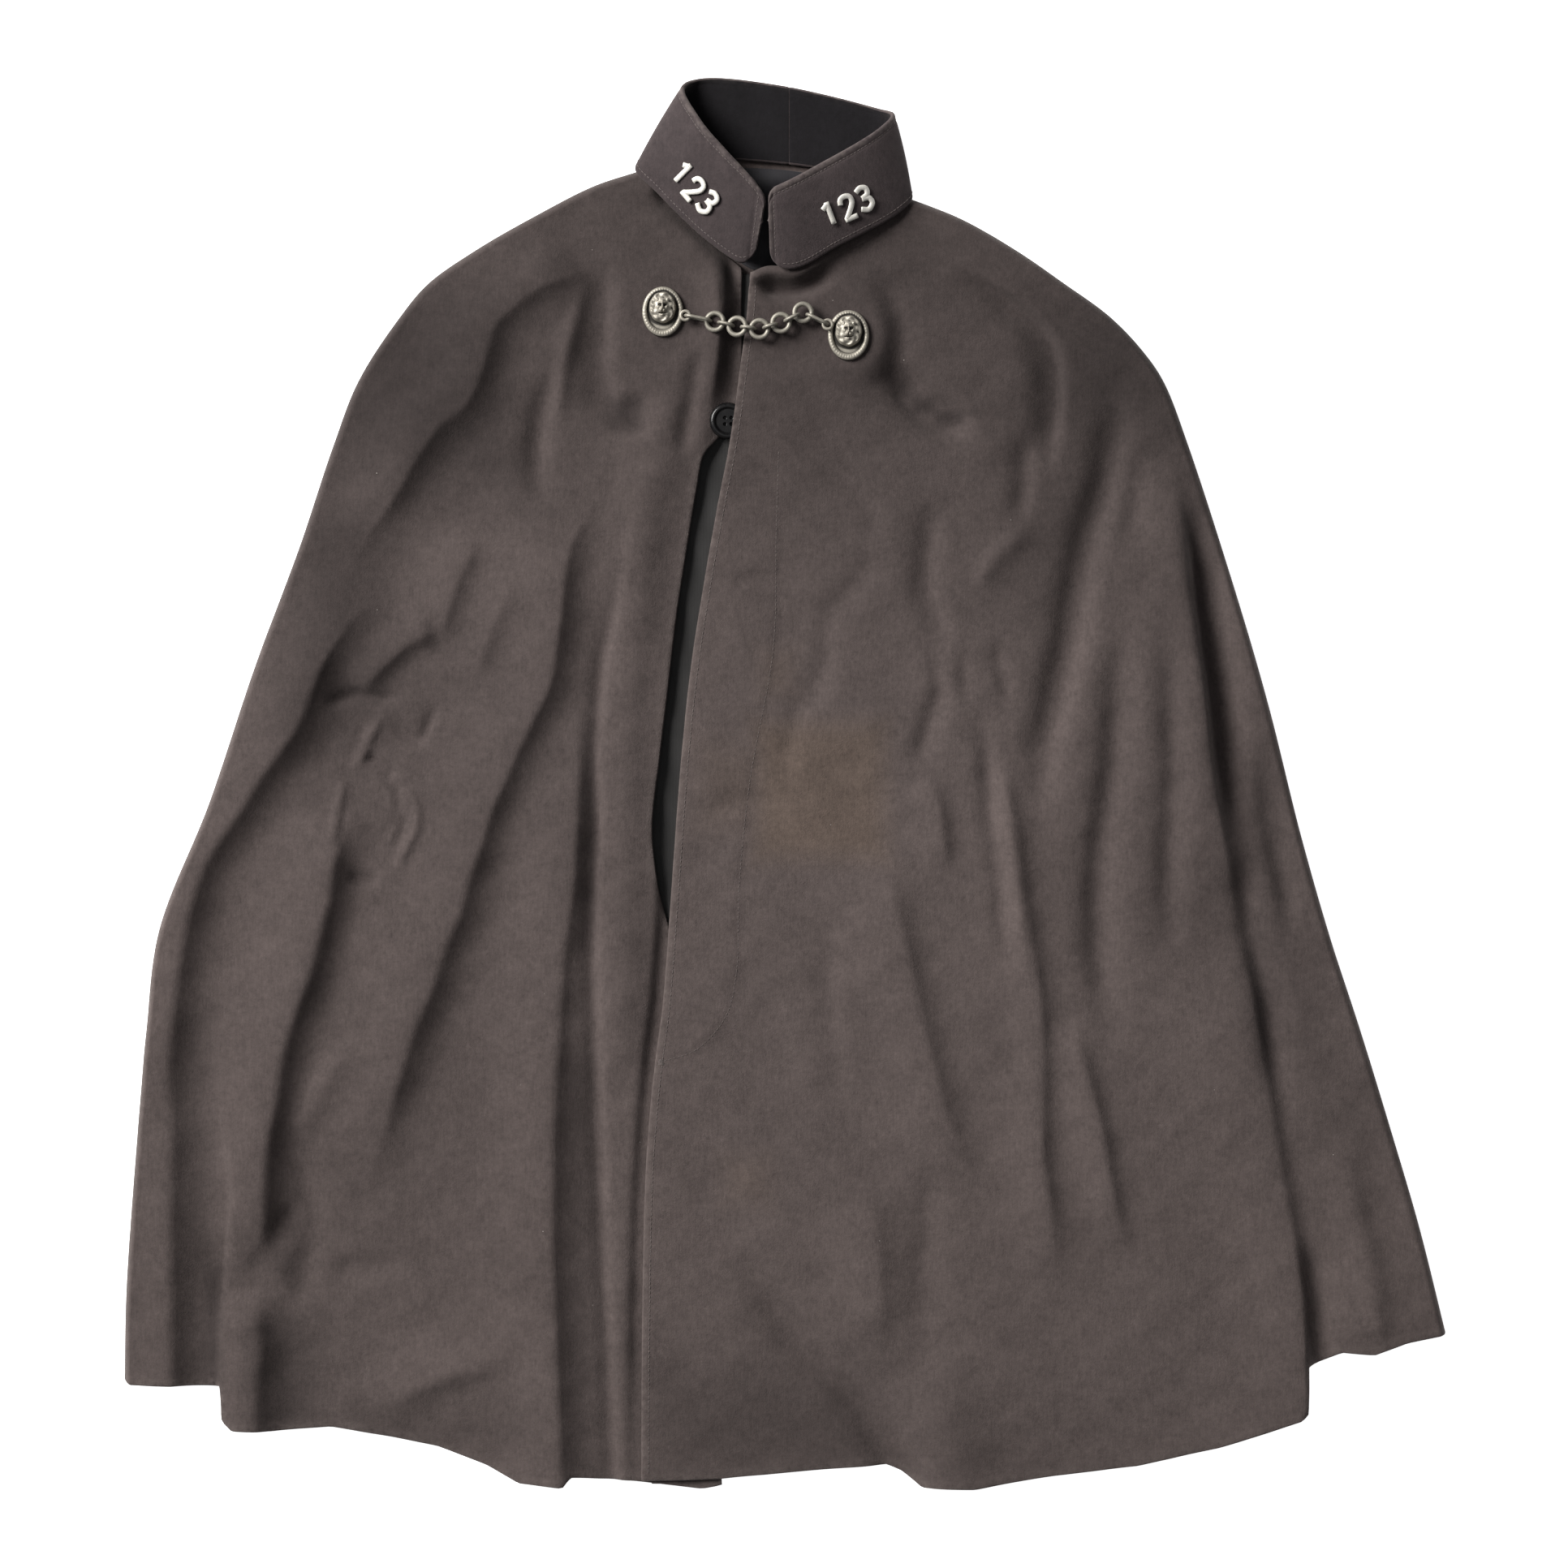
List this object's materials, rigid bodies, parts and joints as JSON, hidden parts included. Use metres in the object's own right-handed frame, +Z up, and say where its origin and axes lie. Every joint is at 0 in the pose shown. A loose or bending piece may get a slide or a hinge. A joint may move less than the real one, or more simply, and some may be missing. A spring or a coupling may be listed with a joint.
{
  "type": "wool cape",
  "caption": "Short dark wool cape with a stand collar, laid flat front up, open at the front edge and fastened at the neck by a chain between two mask bosses.",
  "frame": {"origin": "on the surface the cape lies on, under the middle of its outline", "axes": "+X to the viewer's right (the wearer's left), +Y from hem to collar, +Z up from the surface, out of the front"},
  "size_m": [0.894, 0.9514, 0.0432],
  "materials": {
    "wool": "fulled wool with a short matt nap",
    "lining": "plain black lining",
    "white_metal": "worn nickel plate",
    "black_plastic": "worn gloss"
  },
  "bodies": {
    "root": {"back": "wool", "front_right": "wool", "front_left": "wool", "collar_right": "wool", "collar_left": "wool", "button_stand": "lining", "neck_lining": "lining", "button": "black_plastic", "boss_right": "white_metal", "boss_left": "white_metal", "chain_ring_1": "white_metal", "chain_ring_2": "white_metal", "chain_ring_3": "white_metal", "chain_ring_4": "white_metal", "chain_ring_5": "white_metal", "chain_link_1": "white_metal", "chain_link_2": "white_metal", "chain_link_3": "white_metal", "chain_link_4": "white_metal", "chain_link_5": "white_metal", "chain_link_6": "white_metal", "numeral_right_1": "white_metal", "numeral_right_2": "white_metal", "numeral_right_3": "white_metal", "numeral_left_1": "white_metal", "numeral_left_2": "white_metal", "numeral_left_3": "white_metal"}
  },
  "joints": []
}
